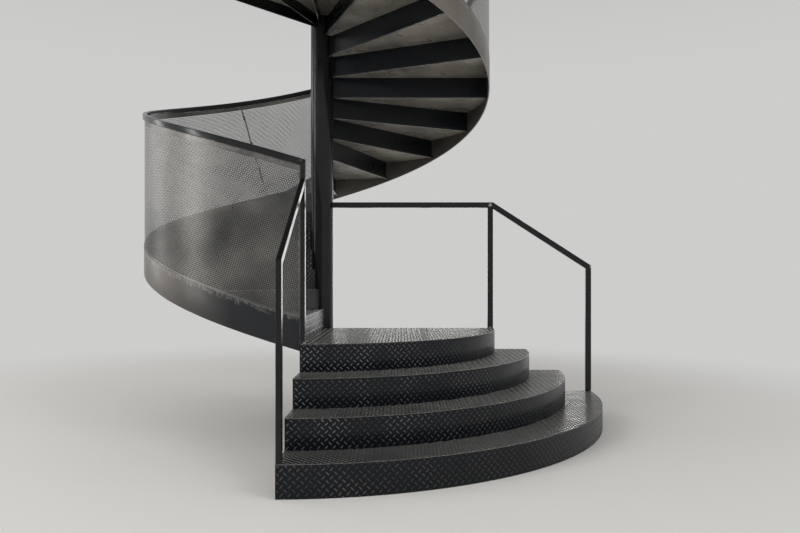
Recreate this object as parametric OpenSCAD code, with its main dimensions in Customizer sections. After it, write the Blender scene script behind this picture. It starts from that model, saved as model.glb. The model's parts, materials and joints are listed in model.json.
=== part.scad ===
/* [Bottom flight] */
// rise of each of the four wide steps
step_rise = 175; // [150:1:200]
// distance of the landing's rim outside the band above it
landing_over = 40; // [30:1:120]
// going of the wide steps, from ring to ring
step_going = 272; // [220:1:340]
// distance of the left end plane, and of each winder riser, in front of its radial line
end_x = 28; // [20:1:60]
// thickness of the checker plate treads
tread_t = 6; // [4:0.5:10]
// thickness of riser and end plates
riser_t = 5; // [3:0.5:8]
// width of tread that runs in under the riser above
tread_lap = 30; // [15:1:60]

/* [Column] */
// outer diameter of the centre column
column_d = 186; // [150:1:240]
// wall of the column tube
column_wall = 8; // [5:0.5:16]
// diameter of the base flange on the floor
flange_d = 320; // [290:1:400]
// thickness of the base flange
flange_t = 15; // [8:1:30]
// pitch circle of the four anchor holes
anchor_pcd = 260; // [240:1:280]
// diameter of the anchor holes
anchor_d = 18; // [12:1:24]

/* [Winders] */
// rise of each winder of the upper flight
winder_rise = 162; // [140:1:180]
// depth of the turned down lip at the back of a winder
lip_h = 20; // [12:1:40]
// width of the end cleat at the stringer
cleat_w = 40; // [20:1:80]

/* [Stringer band] */
// outer radius of the helical band
band_r = 1390; // [1300:1:1410]
// thickness of the band plate
band_t = 8; // [5:0.5:12]
// vertical height of the band
band_h = 208; // [190:1:260]
// height of the top of the band above the line of nosings
band_over = 6; // [2:1:30]

/* [Balustrade] */
// height of the rail top above the line of nosings
rail_over = 1011; // [900:1:1100]
// vertical height of the wound top rail
rail_h = 43; // [30:1:50]
// width of the wound top rail
rail_w = 30; // [24:1:40]
// azimuth of the first joint of the wound pieces
joint_th = 317.6; // [300:0.1:340]
// thickness of the perforated sheet
sheet_t = 3; // [2:0.5:5]
// length of sheet taken by each column of openings
mesh_run = 270; // [200:1:400]
// number of openings up the sheet
mesh_rows = 12; // [4:1:12]
// width of the upright bars left between openings
mesh_stile = 68; // [30:1:100]
// width of the bars left above and below openings
mesh_bar = 34; // [20:1:60]

/* [Plain guards] */
// width of the guard tube in the plane of its guard
post_w = 45; // [30:1:60]
// thickness of the guard tube across its guard
post_t = 30; // [20:1:40]
// outer corner radius of the guard tube
tube_round = 4; // [2:0.5:6]
// distance of the outer face of a post from the rim of its step
post_edge = 4; // [0:0.5:10]
// height of the right rail above the treads at the outer faces of its posts
right_over = 1048; // [950:1:1100]
// height of the left rail above the treads at the outer faces of its posts
left_over = 1027; // [950:1:1100]

/* [Upper platform] */
// depth of the platform frame
frame_h = 95; // [60:1:140]
// thickness of the frame flats
frame_t = 8; // [5:0.5:12]

/* [Hidden] */
$fn = 180;
seat = 0.3;
eps = 0.01;
past = 1;
turn = 22.5;
first = 180;
winders = 15;
sections = 4;
slice_deg = 2.8125;
mesh_slice_deg = 2 * slice_deg;
far = 3 * band_r;
col_r = column_d / 2;
landing_r = band_r + landing_over;
riser_lead = end_x;
landing_z = 4 * step_rise;
band_in = band_r - band_t;
winder_r = band_in * cos(slice_deg / 2) - seat;
sheet_r = band_r - band_t / 2;
top_z = landing_z + winder_rise * (winders + 1);
top_th = first + turn * winders;
end_th = top_th + 3 * turn;
span_th = (top_th - joint_th) / (sections - 1);
seat_deg = seat / band_r * 180 / PI;
square_lean = winder_rise / turn * pow(180 / PI / sheet_r, 2);
column_top = top_z + rail_over;
pitch = atan(step_rise / step_going);
post_h = post_w / 2;
start_y = sheet_r - rail_w / 2 + post_w;

// outer radius of wide step i, 1 at the floor and 4 the landing
function ring_r(i) = landing_r + (4 - i) * step_going;

// height of the walking face of winder k
function winder_z(k) = landing_z + winder_rise * (k - 4);

// height of the line of nosings at azimuth th
function nose_z(th) = landing_z + winder_rise * (1 + (th - first) / turn);

// azimuth at which radius r meets the plane at distance x in front of the first riser line
function plane_th(r, x) = first - asin(x / r);

// azimuth of end i of the wound sections at height v above the line of nosings;
// the joints between them are cut square to the helix
function end_of(i, r, v) =
    i == 0 ? plane_th(r, end_x - seat)
    : i == sections ? top_th
    : joint_th + span_th * (i - 1) + square_lean * (rail_over - v);

// the local x axis is turned to azimuth th
module at(th) {
    rotate([0, 0, 90 - th]) children();
}

// quarter of floor space taken by the bottom flight, inside its end plates
module flight_quarter(z, h, inset) {
    translate([end_x + inset, -far, z])
        cube([far, far - inset, h]);
}

module quarter_ring(r_out, r_in, z, h) {
    intersection() {
        translate([0, 0, z])
            difference() {
                cylinder(r = r_out, h = h);
                translate([0, 0, -past])
                    cylinder(r = r_in, h = h + 2 * past);
            }
        flight_quarter(z - past, h + 2 * past, riser_t + seat);
    }
}

module step_riser(i) {
    z = (i - 1) * step_rise + (i > 1 ? seat : 0);
    color([0.10, 0.10, 0.11])
        quarter_ring(ring_r(i), ring_r(i) - riser_t, z, i * step_rise - tread_t - seat - z);
}

module step_tread(i) {
    inner = i < 4 ? ring_r(i + 1) - tread_lap : col_r + seat;
    color([0.14, 0.14, 0.15])
        quarter_ring(ring_r(i), inner, i * step_rise - tread_t, tread_t);
}

// stepped outline of a closed end, radius along x and height along y
module end_outline() {
    polygon([
        [0, 0],
        [ring_r(1), 0],
        [ring_r(1), step_rise],
        [ring_r(2), step_rise],
        [ring_r(2), 2 * step_rise],
        [ring_r(3), 2 * step_rise],
        [ring_r(3), 3 * step_rise],
        [ring_r(4), 3 * step_rise],
        [ring_r(4), 4 * step_rise],
        [0, 4 * step_rise]
    ]);
}

// space kept free around the column and its base flange
module column_clear() {
    translate([0, 0, -past])
        cylinder(r = col_r + seat, h = landing_z + 2 * past);
    translate([0, 0, -past])
        cylinder(r = flange_d / 2 + past, h = flange_t + 2 * past);
}

module flight_end_left() {
    color([0.10, 0.10, 0.11])
        difference() {
            translate([end_x, 0, 0])
                rotate([90, 0, -90])
                mirror([0, 0, 1])
                linear_extrude(riser_t)
                end_outline();
            column_clear();
        }
}

module flight_end_back() {
    color([0.10, 0.10, 0.11])
        difference() {
            rotate([90, 0, 0])
                linear_extrude(riser_t)
                end_outline();
            translate([-past, -riser_t - past, -past])
                cube([end_x + riser_t + seat + past, riser_t + 2 * past, landing_z + 2 * past]);
            column_clear();
        }
}

module column() {
    h = column_top - flange_t;
    color([0.09, 0.09, 0.10])
        translate([0, 0, flange_t])
        difference() {
            cylinder(r = col_r, h = h);
            translate([0, 0, -past])
                cylinder(r = col_r - column_wall, h = h + 2 * past);
        }
}

module column_base() {
    color([0.09, 0.09, 0.10])
        difference() {
            cylinder(r = flange_d / 2, h = flange_t);
            for (a = [45 : 90 : 315])
                rotate([0, 0, a])
                translate([anchor_pcd / 2, 0, -past])
                cylinder(r = anchor_d / 2, h = flange_t + 2 * past);
        }
}

module column_cap() {
    color([0.09, 0.09, 0.10])
        translate([0, 0, column_top])
        cylinder(r = col_r, h = tread_t);
}

// plan of a winder from its front edge to the back plane at azimuth th_back
module winder_plan(th, th_back, r_out) {
    intersection() {
        difference() {
            circle(r = r_out);
            circle(r = col_r + seat);
        }
        at(th)
            translate([-far, riser_lead - 2 * far])
            square([2 * far, 2 * far]);
        at(th_back)
            translate([-far, 0])
            square([2 * far, 2 * far]);
    }
}

// upright radial plate between column and band, front face at y_front
module radial_plate(th, y_front, thick, z, h, r_out) {
    intersection() {
        at(th)
            translate([0, y_front - thick, z])
            cube([far, thick, h]);
        translate([0, 0, z - past])
            difference() {
                cylinder(r = r_out, h = h + 2 * past);
                translate([0, 0, -past])
                    cylinder(r = col_r + seat, h = h + 4 * past);
            }
    }
}

// winders are drawn at the first azimuth and then turned to their own
module turned(k) {
    rotate([0, 0, -turn * (k - 5)]) children();
}

module riser_and_cleat(k, z_foot) {
    h = winder_z(k) - tread_t - z_foot + eps;
    radial_plate(first, riser_lead, riser_t, z_foot, h, winder_r);
    intersection() {
        radial_plate(first, riser_lead - riser_t + eps, riser_t, z_foot, h, winder_r);
        at(first)
            translate([winder_r - cleat_w, -riser_lead, z_foot - past])
            cube([far, 3 * riser_lead, h + 2 * past]);
    }
}

module winder(k) {
    foot = k == 5 ? nose_z(first) + band_over - band_h : winder_z(k - 1) + seat;
    color([0.14, 0.14, 0.15])
        turned(k)
        union() {
            translate([0, 0, winder_z(k) - tread_t])
                linear_extrude(tread_t)
                winder_plan(first, first + turn, winder_r);
            radial_plate(first + turn, riser_t, riser_t,
                winder_z(k) - lip_h, lip_h - tread_t + eps, winder_r);
            riser_and_cleat(k, foot);
        }
}

module riser_20() {
    color([0.14, 0.14, 0.15])
        turned(20)
        riser_and_cleat(20, winder_z(19) + seat);
}

module platform_plate() {
    color([0.14, 0.14, 0.15])
        translate([0, 0, top_z - tread_t])
        linear_extrude(tread_t)
        winder_plan(top_th, end_th, band_r);
}

module platform_frame() {
    z = top_z - frame_h;
    h = frame_h - tread_t - seat;
    side = end_th - top_th;
    color([0.09, 0.09, 0.10])
        union() {
            intersection() {
                translate([0, 0, z])
                    difference() {
                        cylinder(r = band_r, h = h);
                        translate([0, 0, -past])
                            cylinder(r = band_in, h = h + 2 * past);
                    }
                translate([0, 0, z - past])
                    linear_extrude(h + 2 * past)
                    winder_plan(top_th + asin((riser_lead + seat) / band_in), end_th, 2 * band_r);
            }
            radial_plate(end_th, frame_t, frame_t, z, h, band_in + eps);
            for (part = [1 : 2])
                radial_plate(top_th + part * side / 3, frame_t / 2, frame_t, z, h, band_in + eps);
        }
}

// section swept up the helix: each point holds its radius, its height above the line
// of nosings and its azimuths at both ends; the points run up the outer side and
// down the inner side
module wound(section) {
    m = len(section);
    n = ceil((section[0][3] - section[0][2]) / slice_deg);
    pts = [for (i = [0 : n])
        for (c = section)
            let (th = c[2] + (c[3] - c[2]) * i / n)
            [c[0] * sin(th), c[0] * cos(th), nose_z(th) + c[1]]];
    sides = [for (i = [0 : n - 1])
        for (j = [0 : m - 1])
            [m * i + j, m * i + m + (j + 1) % m, m * i + (j + 1) % m]];
    sides_b = [for (i = [0 : n - 1])
        for (j = [0 : m - 1])
            [m * i + j, m * i + m + j, m * i + m + (j + 1) % m]];
    start = [for (j = [0 : m / 2 - 2]) [j, j + 1, m - 2 - j, m - 1 - j]];
    finish = [for (f = start) [for (q = [3 : -1 : 0]) f[q] + m * n]];
    polyhedron(points = pts, faces = concat(sides, sides_b, start, finish));
}

// azimuth at which section i starts, clear of the section below it
function start_of(i, r, v) = end_of(i - 1, r, v) + (i > 1 ? seat_deg : 0);

module band(i) {
    low = band_over - band_h;
    color([0.16, 0.16, 0.17])
        wound([for (c = [[band_r, low], [band_r, band_over], [band_in, band_over], [band_in, low]])
            [c[0], c[1], start_of(i, c[0], c[1]), end_of(i, c[0], c[1])]]);
}

// shares of a run at which evenly spaced openings start, bend and end
function opening_cuts(run, count, bar, slices) =
    let (pitch = run / count)
    concat([0],
        [for (c = [0 : count - 1])
            for (q = [0 : slices])
                (c * pitch + bar / 2 + (pitch - bar) * q / slices) / run],
        [1]);

// wound plate of section i with a grid of openings, each bent in slices along the helix
module wound_grid(i, r_in, r_out, low, high) {
    run = sheet_r * PI / 180 * (end_of(i, sheet_r, low) - end_of(i - 1, sheet_r, low));
    columns = max(1, round(run / mesh_run));
    slices = max(1, round((run / columns - mesh_stile) / sheet_r * 180 / PI / mesh_slice_deg));
    along = opening_cuts(run, columns, mesh_stile, slices);
    up = opening_cuts(high - low, mesh_rows, mesh_bar, 1);
    last_a = len(along) - 2;
    last_b = len(up) - 2;
    function solid(a, b) =
        a >= 0 && a <= last_a && b >= 0 && b <= last_b && (a % (slices + 1) == 0 || b % 2 == 0);
    function at_cut(side, a, b) = (side * len(along) + a) * len(up) + b;
    pts = [for (r = [r_out, r_in])
        for (t = along)
            for (u = up)
                let (v = low + (high - low) * u)
                let (th0 = start_of(i, r, v))
                let (th = th0 + (end_of(i, r, v) - th0) * t)
                [r * sin(th), r * cos(th), nose_z(th) + v]];
    quads = [for (a = [0 : last_a])
        for (b = [0 : last_b])
            if (solid(a, b))
                let (outer = [[a, b], [a, b + 1], [a + 1, b + 1], [a + 1, b]])
                let (open = [!solid(a - 1, b), !solid(a, b + 1), !solid(a + 1, b), !solid(a, b - 1)])
                each concat(
                    [[for (c = outer) at_cut(0, c[0], c[1])]],
                    [[for (q = [3 : -1 : 0]) at_cut(1, outer[q][0], outer[q][1])]],
                    [for (q = [0 : 3])
                        if (open[q])
                            let (c = outer[q])
                            let (d = outer[(q + 1) % 4])
                            [at_cut(0, d[0], d[1]), at_cut(0, c[0], c[1]),
                                at_cut(1, c[0], c[1]), at_cut(1, d[0], d[1])]])];
    halves = [for (q = quads)
        each [[q[0], q[2], q[1]], [q[0], q[3], q[2]]]];
    polyhedron(points = pts, faces = halves);
}

module sheet(i) {
    color([0.20, 0.20, 0.21])
        wound_grid(i, sheet_r - sheet_t / 2, sheet_r + sheet_t / 2,
            band_over + seat, rail_over - rail_h - seat);
}

// corner points of a rounded tube section, centred on zero across
function tube_points(w, low, high, step) =
    [for (q = [0 : 3])
        for (a = [-90 : step : 0])
            let (x = q < 2 ? w / 2 - tube_round : tube_round - w / 2)
            let (y = q == 0 || q == 3 ? low + tube_round : high - tube_round)
            [x + tube_round * cos(a + 90 * q), y + tube_round * sin(a + 90 * q)]];

// the lowest rail section runs on over the start post, down to a mitre
module top_rail(i) {
    low = rail_over - rail_h;
    section = [for (c = tube_points(rail_w, low, rail_over, 45))
        let (r = sheet_r + c[0])
        let (over = post_t * (c[1] - low) / rail_h)
        [r, c[1],
            i == 1 ? plane_th(r, end_x + over) : end_of(i - 1, r, c[1]) + seat_deg,
            end_of(i, r, c[1])]];
    color([0.09, 0.09, 0.10])
        wound(section);
}

// rounded section of the guard tube, its width along x
module tube_outline() {
    polygon(tube_points(post_w, -post_t / 2, post_t / 2, 30));
}

// takes away what lies past the plane through p that faces direction a
module cut_past(p, a) {
    translate([p[0], 0, p[1]])
        rotate([0, -a, 0])
        translate([-seat / 2, -post_t, -far])
        cube([far, 2 * post_t, 2 * far]);
}

// length of tube from p0 to p1 in the plane of its guard, where x is the distance
// from the column axis; its ends are cut square to directions a0 and a1
module tube(p0, p1, a0, a1) {
    run = p1 - p0;
    difference() {
        translate([p0[0], 0, p0[1]])
            rotate([0, -atan2(run[1], run[0]), 0])
            translate([-post_w, 0, 0])
            rotate([0, 90, 0])
            linear_extrude(norm(run) + 2 * post_w)
            tube_outline();
        cut_past(p0, a0 + 180);
        cut_past(p1, a1);
    }
}

// outer top corner of the post on the first step
function low_corner(over) = [ring_r(1) - post_edge, step_rise + over];

// point where the centre lines of that post and its sloping rail meet
function low_mitre(over) = low_corner(over) - post_h * [1, tan(45 - pitch / 2)];

// point of the sloping centre line at distance x from the axis
function slope_point(over, x) = [x, low_mitre(over)[1] + (low_mitre(over)[0] - x) * tan(pitch)];

// top corner over the post on the landing, and the meeting of its centre lines
top_corner = [ring_r(4) - post_edge, landing_z + right_over];
top_mitre = top_corner - post_h * [tan(pitch / 2), 1];

module left_plane() {
    color([0.09, 0.09, 0.10])
        translate([end_x + post_t / 2, 0, 0])
        rotate([0, 0, -90])
        children();
}

module right_plane() {
    color([0.09, 0.09, 0.10])
        translate([0, -riser_t - post_t / 2, 0])
        children();
}

module low_post(over) {
    foot = [low_mitre(over)[0], step_rise + seat / 2];
    tube(foot, low_mitre(over), 90, 135 - pitch / 2);
}

module left_post() {
    left_plane() low_post(left_over);
}

module right_post() {
    right_plane() low_post(right_over);
}

module left_rail() {
    left_plane()
        tube(low_mitre(left_over), slope_point(left_over, start_y + seat / 2), 135 - pitch / 2, 180);
}

module right_rail() {
    right_plane()
        tube(low_mitre(right_over), top_mitre, 135 - pitch / 2, 180 - pitch / 2);
}

module landing_rail() {
    right_plane()
        difference() {
            tube(top_mitre, [0, top_mitre[1]], 180 - pitch / 2, 180);
            translate([0, riser_t + post_t / 2, top_mitre[1] - post_w])
                cylinder(r = col_r + seat, h = 2 * post_w);
        }
}

// the top of this post fits under both rails
module landing_post() {
    x = top_corner[0] - post_h;
    under = top_corner[1] - post_w;
    right_plane()
        difference() {
            tube([x, landing_z + seat / 2], [x, under - seat / 2], 90, 90);
            cut_past([top_corner[0] - post_w * tan(pitch / 2), under - seat / 2], 90 - pitch);
        }
}

// post at the landing corner where the balustrade starts, mitred into the top rail
module start_post() {
    z = landing_z + seat;
    z_in = nose_z(plane_th(sheet_r, end_x)) + rail_over - rail_h;
    z_out = nose_z(plane_th(sheet_r, end_x + post_t)) + rail_over;
    left_plane()
        difference() {
            translate([start_y - post_h, 0, z])
                linear_extrude(z_out - z)
                tube_outline();
            translate([start_y - post_w - past, -post_t / 2, z_in - 2 * seat])
                rotate([atan2(z_out - z_in, post_t), 0, 0])
                translate([0, -post_w, 0])
                cube([post_w + 2 * past, 3 * post_w, 2 * post_w]);
        }
}

// post where the balustrade ends on the platform
module finish_post() {
    z = top_z + seat;
    color([0.09, 0.09, 0.10])
        at(top_th)
        translate([band_r - post_h, -post_t / 2 - seat, z])
        linear_extrude(top_z + rail_over - z)
        tube_outline();
}

column();
column_base();
column_cap();
step_riser(1);  // step_1_riser
step_tread(1);  // step_1_tread
step_riser(2);  // step_2_riser
step_tread(2);  // step_2_tread
step_riser(3);  // step_3_riser
step_tread(3);  // step_3_tread
step_riser(4);  // landing_riser
step_tread(4);  // landing_tread
flight_end_left();
flight_end_back();
winder(5);  // winder_05
winder(6);  // winder_06
winder(7);  // winder_07
winder(8);  // winder_08
winder(9);  // winder_09
winder(10);  // winder_10
winder(11);  // winder_11
winder(12);  // winder_12
winder(13);  // winder_13
winder(14);  // winder_14
winder(15);  // winder_15
winder(16);  // winder_16
winder(17);  // winder_17
winder(18);  // winder_18
winder(19);  // winder_19
riser_20();
platform_plate();
platform_frame();
band(1);  // band_1
band(2);  // band_2
band(3);  // band_3
band(4);  // band_4
sheet(1);  // sheet_1
sheet(2);  // sheet_2
sheet(3);  // sheet_3
sheet(4);  // sheet_4
top_rail(1);  // top_rail_1
top_rail(2);  // top_rail_2
top_rail(3);  // top_rail_3
top_rail(4);  // top_rail_4
start_post();
finish_post();
left_post();
left_rail();
right_post();
right_rail();
landing_post();
landing_rail();
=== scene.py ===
import functools
import json
import math

import bmesh
import bpy
import numpy as np
from bpy.props import FloatProperty, FloatVectorProperty, PointerProperty
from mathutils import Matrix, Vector


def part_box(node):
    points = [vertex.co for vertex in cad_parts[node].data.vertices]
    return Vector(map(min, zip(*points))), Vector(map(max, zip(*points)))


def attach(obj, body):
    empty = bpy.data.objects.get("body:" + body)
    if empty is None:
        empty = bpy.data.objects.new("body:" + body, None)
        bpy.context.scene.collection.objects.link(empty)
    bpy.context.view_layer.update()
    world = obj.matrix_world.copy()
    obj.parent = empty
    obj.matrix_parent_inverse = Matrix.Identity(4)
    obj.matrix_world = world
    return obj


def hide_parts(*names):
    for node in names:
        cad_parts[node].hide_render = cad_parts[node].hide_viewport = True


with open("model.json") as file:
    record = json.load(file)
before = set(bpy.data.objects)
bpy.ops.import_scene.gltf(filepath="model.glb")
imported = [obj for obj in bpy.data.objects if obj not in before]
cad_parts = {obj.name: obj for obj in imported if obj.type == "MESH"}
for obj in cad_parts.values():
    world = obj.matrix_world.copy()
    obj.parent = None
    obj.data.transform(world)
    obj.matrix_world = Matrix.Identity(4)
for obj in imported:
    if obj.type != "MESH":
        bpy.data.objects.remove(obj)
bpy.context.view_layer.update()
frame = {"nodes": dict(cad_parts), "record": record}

bl_info = {
    "name": "Spiral staircase with curved bottom flight",
    "version": (1, 0, 0),
    "blender": (4, 5, 0),
    "location": "View3D > Sidebar > Stair",
    "description": "Dresses the packed solids of a black steel spiral stair",
    "category": "Object",
}


def reach_of(node):
    """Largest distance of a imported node's points from the column axis."""
    return max(math.hypot(v.co.x, v.co.y) for v in frame["nodes"][node].data.vertices)


# Lengths are metres and azimuths degrees, clockwise from +Y seen from above. R is a distance
# from the column's axis, T a thickness, H a height and TH an azimuth.
SEAT = 0.0003
FLIGHT = ("step_1", "step_2", "step_3", "landing")
FIRST_WINDER = 5
TOP_RISER = 20
FIRST = 180.0
TURN = 22.5
SECTIONS = 4
COLUMN_R = reach_of("column")
RING_R = [reach_of(f"{name}_tread") for name in FLIGHT]
STEP_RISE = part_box("step_1_tread")[1].z
TREAD_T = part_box("step_1_tread")[1].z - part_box("step_1_tread")[0].z
TREAD_LAP = 0.030
RISER_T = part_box("flight_end_back")[1].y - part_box("flight_end_back")[0].y
FLIGHT_INSET = RISER_T + SEAT
LANDING_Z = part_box("landing_tread")[1].z
WINDER_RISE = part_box("winder_06")[1].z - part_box("winder_05")[1].z
WINDER_R = reach_of("winder_08")
LIP_H = 0.020
TOP_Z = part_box("platform_plate")[1].z
TOP_TH = FIRST + TURN * (TOP_RISER - FIRST_WINDER)
END_TH = TOP_TH + 3 * TURN
END_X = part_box("flight_end_left")[0].x
BAND_R = reach_of("band_1")
BAND_T = 0.008
BAND_H = 0.208
BAND_OVER = 0.006
BAND_LOW = BAND_OVER - BAND_H
GAP_TH = math.degrees(SEAT / BAND_R)
SHEET_R = BAND_R - BAND_T / 2
RAIL_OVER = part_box("column")[1].z - TOP_Z
RAIL_H = 0.043
RAIL_LOW = RAIL_OVER - RAIL_H
RAIL_W = 0.030
RAIL_ROUND = 0.004
POST_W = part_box("left_post")[1].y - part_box("left_post")[0].y
POST_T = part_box("left_post")[1].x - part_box("left_post")[0].x
JOINT_TH = 317.6
SPAN_TH = (TOP_TH - JOINT_TH) / (SECTIONS - 1)
HELIX_SLOPE = WINDER_RISE / (SHEET_R * math.radians(TURN))
SQUARE_LEAN = math.degrees(HELIX_SLOPE / SHEET_R)
ANCHOR_R = 0.130
# plain strips around the lozenges: at a rim, over a riser's foot and under its top
RIM_CLEAR = 0.003
FOOT_CLEAR = 0.002
TOP_CLEAR = 0.001
RUN_AND_HEIGHT = "run_and_height"
UP = np.array([0.0, 0.0, 1.0])


def linear(hex_colour):
    """Linear colour of an sRGB hex value."""
    out = []
    for shift in (16, 8, 0):
        c = ((hex_colour >> shift) & 255) / 255
        out.append(c / 12.92 if c <= 0.04045 else ((c + 0.055) / 1.055) ** 2.4)
    return tuple(out)


def colour_setting(name, description, hex_colour):
    return FloatVectorProperty(
        name=name, description=description, subtype="COLOR", size=4, min=0, max=1,
        default=(*linear(hex_colour), 1.0),
    )


def length_setting(name, description, metres):
    return FloatProperty(
        name=name, description=description, default=metres, min=0.0001, unit="LENGTH",
        precision=4,
    )


class StairSizes(bpy.types.PropertyGroup):
    """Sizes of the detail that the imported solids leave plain."""

    hole: length_setting("Hole", "Diameter of a hole in the perforated sheet", 0.010)
    hole_pitch: length_setting("Hole pitch", "Distance of holes, staggered at 60 degrees", 0.0144)
    margin_top: length_setting("Top margin", "Plain margin of the sheet under the top rail", 0.026)
    margin_foot: length_setting("Foot margin", "Plain margin of the sheet above the band", 0.014)
    margin_end: length_setting("End margin", "Plain margin of the sheet beside its posts", 0.009)
    margin_seam: length_setting("Seam margin", "Plain margin of a sheet beside the next one", 0.003)
    lozenge_pitch: length_setting("Lozenge pitch", "Distance of like lozenges along a row", 0.042)
    lozenge_length: length_setting("Lozenge length", "Length of a rolled lozenge", 0.029)
    lozenge_width: length_setting("Lozenge width", "Width of a rolled lozenge", 0.0095)
    lozenge_height: length_setting("Lozenge height", "Height of a rolled lozenge", 0.0016)
    set_back: length_setting("Riser set back", "Distance of curved risers behind the rims", 0.0018)
    weld: length_setting("Weld", "Radius of a fillet weld bead", 0.003)
    bolt: length_setting("Anchor bolt", "Diameter of the floor anchors", 0.016)


class StairColours(bpy.types.PropertyGroup):
    """Colours of the finishes."""

    plate: colour_setting("Plate wax", "Blackened checker plate under wax", 0x0A0C0F)
    plate_dust: colour_setting("Plate dust", "Dust and scuffs on the treads", 0x1D1C1A)
    # the pale rim colour is bare steel drawn bright as a painted highlight
    plate_edge: colour_setting("Plate edge", "Rims of the treads, rubbed bare", 0xA8A6A1)
    # the pale soffit colour is a painted reflection of the lit floor on the smudged underside
    soffit: colour_setting("Soffit", "Smudged smooth underside of the plates", 0xB0ABA1)
    crown: colour_setting("Lozenge crown", "Waxed lozenges of the risers", 0x121417)
    # the pale rubbed crown is rubbed wax drawn bright as a painted glint
    crown_rubbed_and_glinting: colour_setting("Rubbed crown", "Riser lozenges where the wax is rubbed", 0x7E7F82)
    # the pale bare crown is steel rubbed by feet, drawn bright as a painted reflection
    crown_bare_and_glinting: colour_setting("Bare crown", "Tread lozenges rubbed to the steel", 0xC6C4BF)
    tube: colour_setting("Tube enamel", "Enamel on the column, posts and rails", 0x090A0A)
    tube_haze: colour_setting("Tube haze", "Enamel dulled by hands and dust", 0x121314)
    band: colour_setting("Band steel", "Waxed hot rolled steel of the stringer", 0x746F68)
    # the mill scale colour also paints shade at the foot of the stair
    band_scale: colour_setting("Mill scale", "Darker mill scale on the stringer", 0x2B2C2F)
    # ground steel also paints highlights at the tube joints and on the band's lower edge
    grind: colour_setting("Ground steel", "Ground marks along the welded edges", 0xB0ADA6)
    sheet: colour_setting("Sheet steel", "Waxed steel of the perforated sheet", 0x807D78)
    sheet_dark: colour_setting("Sheet shade", "Darker clouds in the sheet's wax", 0x575654)
    weld: colour_setting("Weld", "Weld beads under clear wax", 0x7A7976)
    zinc: colour_setting("Zinc", "Zinc plated anchor bolts", 0x9A9B9C)
    floor: colour_setting("Floor", "Studio floor", 0xCBC9C5)
    backdrop: colour_setting("Backdrop", "Studio backdrop behind the stair", 0xCDCDCC)
    backdrop_top: colour_setting("Upper backdrop", "Studio backdrop overhead", 0x8A8A8C)


def nose_z(azimuth):
    """Height of the line of winder nosings."""
    return LANDING_Z + WINDER_RISE * (1 + (azimuth - FIRST) / TURN)


def winder_place(k):
    """Azimuth of riser k and height of the tread over it."""
    return FIRST + TURN * (k - FIRST_WINDER), LANDING_Z + WINDER_RISE * (k - FIRST_WINDER + 1)


def plane_azimuth(radius, x):
    """Azimuth at which a radius meets the plane at x beside the start of the balustrade."""
    return FIRST - math.degrees(math.asin(x / radius))


def section_end(i, radius, v):
    """Azimuth of wound end i, v above the nosings; the joints are square to the helix."""
    if i == 0:
        return plane_azimuth(radius, END_X - SEAT)
    if i == SECTIONS:
        return TOP_TH
    return JOINT_TH + SPAN_TH * (i - 1) + SQUARE_LEAN * (RAIL_OVER - v)


def section_ends(i, first_gap=0.0):
    """Function from radius and height to the two end azimuths of wound section i."""
    gap = GAP_TH if i > 1 else first_gap
    return lambda r, v: (section_end(i - 1, r, v) + gap, section_end(i, r, v))


def flight_ends(r, v):
    """Azimuths at which the end plates stop a wide step's riser or tread."""
    return 90 + math.degrees(math.asin(FLIGHT_INSET / r)), plane_azimuth(r, END_X + FLIGHT_INSET)


def radial(azimuth):
    """Unit vector from the column outwards."""
    a = math.radians(azimuth)
    return np.array([math.sin(a), math.cos(a), 0.0])


def downstairs(azimuth):
    """Unit vector square to the radial line, pointing down the stair."""
    a = math.radians(azimuth)
    return np.array([-math.cos(a), math.sin(a), 0.0])


def skin(rows, around):
    """Four-sided faces over rows of points, closed around each row."""
    i, j = np.meshgrid(np.arange(rows - 1), np.arange(around), indexing="ij")
    k = (j + 1) % around
    faces = [around * i + j, around * i + k, around * (i + 1) + k, around * (i + 1) + j]
    return np.stack(faces, -1).reshape(-1, 4)


def wind(section, step=1.0):
    """Closed surface of a section swept up the helix.

    Each row of the section is radius, height above the nosings and the azimuths of both ends;
    rows run up the outer side and down the inner side. Returns points, faces and (run, height).
    """
    section = np.asarray(section, float)
    m = len(section)
    n = max(1, math.ceil((section[0, 3] - section[0, 2]) / step))
    t = np.linspace(0, 1, n + 1)[:, None]
    azimuth = section[:, 2] + (section[:, 3] - section[:, 2]) * t
    a = np.radians(azimuth)
    z = nose_z(azimuth) + section[:, 1]
    points = np.stack([section[:, 0] * np.sin(a), section[:, 0] * np.cos(a), z], -1)
    half = np.arange(m // 2 - 1)
    cap = np.stack([half, m - 1 - half, m - 2 - half, half + 1], -1)
    faces = np.concatenate([skin(n + 1, m), cap, cap[:, ::-1] + m * n])
    run = SHEET_R * np.radians(azimuth - FIRST) / math.cos(math.atan(HELIX_SLOPE))
    flat = np.stack([run, np.broadcast_to(section[:, 1], run.shape)], -1)
    return points.reshape(-1, 3), faces.tolist(), flat.reshape(-1, 2)


def eased_section(r_in, r_out, low, high, ease, ends, arc=(-90, -45, 0)):
    """Section of a wound plate with rounded edges; ends gives its end azimuths at a point."""
    corners = ((r_out, low, -1, 1), (r_out, high, -1, -1), (r_in, high, 1, -1), (r_in, low, 1, 1))
    section = []
    for q, (r, v, dr, dv) in enumerate(corners):
        for a in arc:
            w = math.radians(a + 90 * q)
            at = r + ease * (dr + math.cos(w)), v + ease * (dv + math.sin(w))
            section.append((*at, *ends(*at)))
    return section


def level_arc(section):
    """Surface of a section swept level about the column; a row is radius, z and end azimuths."""
    points, faces, _ = wind(section, 0.75)
    points[:, 2] = np.tile([row[1] for row in section], len(points) // len(section))
    return points, faces


def join(parts):
    """Points and faces of several pieces as one mesh's lists."""
    points, faces, offset = [], [], 0
    for part in parts:
        points.append(np.asarray(part[0], float))
        faces.extend([[v + offset for v in f] for f in part[1]] if offset else part[1])
        offset += len(part[0])
    return np.concatenate(points), faces


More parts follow.
